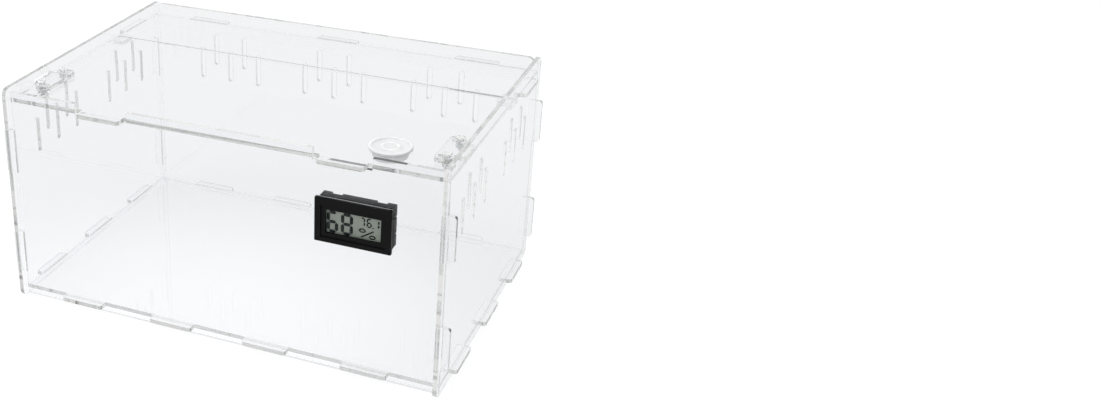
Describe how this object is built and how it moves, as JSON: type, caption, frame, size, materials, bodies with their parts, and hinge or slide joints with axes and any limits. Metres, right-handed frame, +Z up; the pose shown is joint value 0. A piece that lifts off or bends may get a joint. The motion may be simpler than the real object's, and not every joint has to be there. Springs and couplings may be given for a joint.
{
  "type": "terrarium",
  "caption": "Low clear acrylic reptile terrarium of slotted flat sheets, with vent slots, a lift-off lid with sliding bolts, a feeding port with a plug and a meter set in the front panel.",
  "frame": {"origin": "middle of the footprint at the height of the table", "axes": "+X along the width, towards the side with the meter; +Y from the front panel to the back panel; +Z up"},
  "size_m": [0.303, 0.2, 0.15],
  "materials": {
    "clear_acrylic": "clear polished sheet with grey-green cut edges",
    "soft_white_plastic": "translucent moulded",
    "white_nylon": "satin moulded",
    "black_plastic": "satin moulded",
    "display_window": "clear polished",
    "display_glass": "grey-green liquid crystal glass",
    "connector_rubber": "matte",
    "circuit_board": "solder mask",
    "chip_resin": "glossy drop of resin",
    "sensor_plastic": "matte",
    "cell_steel": "nickel-plated",
    "contact_steel": "nickel-plated spring strip"
  },
  "bodies": {
    "case": {"left_side_panel": "clear_acrylic", "right_side_panel": "clear_acrylic", "front_panel": "clear_acrylic", "back_panel": "clear_acrylic", "floor_panel": "clear_acrylic", "rear_top_strip": "clear_acrylic", "left_lid_ledge": "clear_acrylic", "right_lid_ledge": "clear_acrylic"},
    "lid": {"lid": "clear_acrylic", "left_bolt_screws": "white_nylon", "right_bolt_screws": "white_nylon", "left_bolt_nuts": "white_nylon", "right_bolt_nuts": "white_nylon"},
    "left_bolt": {"left_lid_bolt": "clear_acrylic"},
    "right_bolt": {"right_lid_bolt": "clear_acrylic"},
    "port_plug": {"port_plug": "soft_white_plastic"},
    "hygrometer": {"meter_shell": "black_plastic", "meter_window": "display_window", "meter_lcd": "display_glass", "lcd_connector": "connector_rubber", "meter_board": "circuit_board", "controller_chip": "chip_resin", "humidity_sensor": "sensor_plastic", "button_cells": "cell_steel", "battery_contacts": "contact_steel", "meter_back": "black_plastic"},
    "battery_door": {"battery_door": "black_plastic"}
  },
  "joints": [
    {"name": "lid_lift", "type": "slide", "parent": "case", "child": "lid", "axis": [0, 0, 1], "range_m": [0, 0.06]},
    {"name": "left_bolt_slide", "type": "slide", "parent": "lid", "child": "left_bolt", "axis": [-1, 0, 0], "range_m": [0, 0.004]},
    {"name": "right_bolt_slide", "type": "slide", "parent": "lid", "child": "right_bolt", "axis": [1, 0, 0], "range_m": [0, 0.004]},
    {"name": "plug_pull", "type": "slide", "parent": "lid", "child": "port_plug", "axis": [0, 0, 1], "range_m": [0, 0.02]},
    {"name": "hygrometer_pull", "type": "slide", "parent": "case", "child": "hygrometer", "axis": [0, -1, 0], "range_m": [0, 0.03]},
    {"name": "battery_door_slide", "type": "slide", "parent": "hygrometer", "child": "battery_door", "axis": [-1, 0, 0], "range_m": [0, 0.026]}
  ]
}
